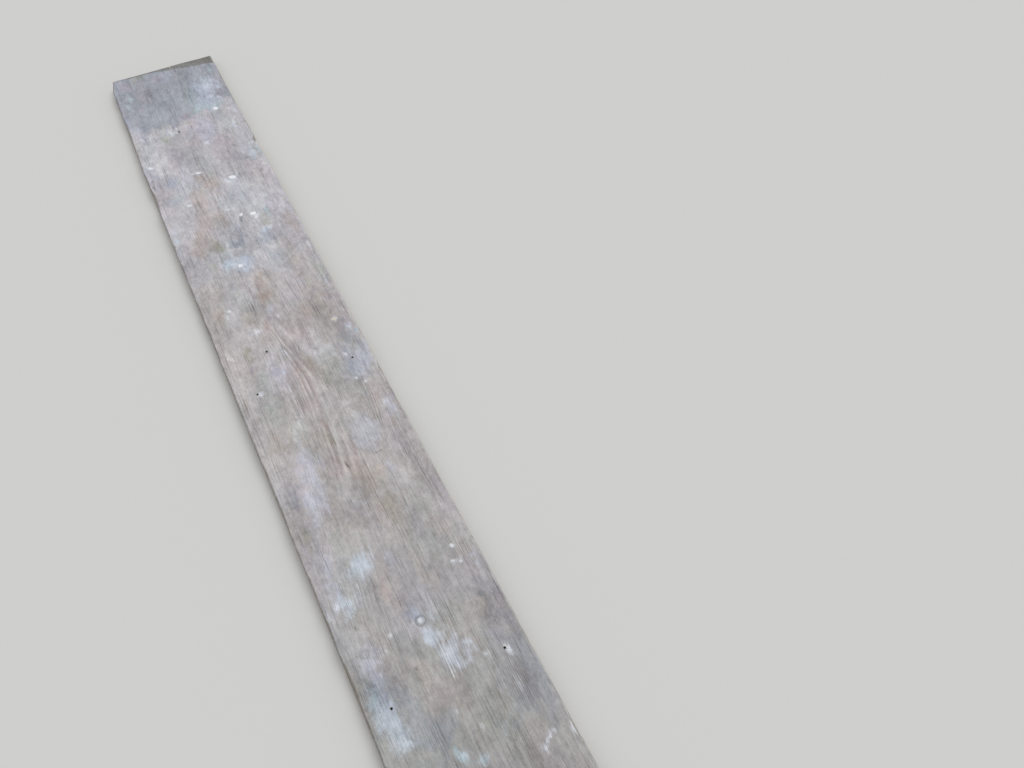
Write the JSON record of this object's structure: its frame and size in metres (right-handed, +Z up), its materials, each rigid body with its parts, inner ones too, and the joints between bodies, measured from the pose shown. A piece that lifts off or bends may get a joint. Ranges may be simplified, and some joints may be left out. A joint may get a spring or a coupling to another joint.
{
  "type": "floorboard",
  "caption": "Old wide pine floorboard with square edges, lying face up: worn face with pale paint marks, nail holes, a skew-sawn stained end.",
  "frame": {"origin": "middle of the underside, halfway along and across the board", "axes": "+X along the board towards its skew-sawn stained end, +Y across it to its left edge as seen looking along +X, +Z up to the walked-on face"},
  "size_m": [2.4, 0.28, 0.025],
  "materials": {
    "worn_pine": "bare worn pine, grey and lilac with age, with pale paint marks and one slate-stained end"
  },
  "bodies": {
    "root": {"floorboard": "worn_pine"}
  },
  "joints": []
}
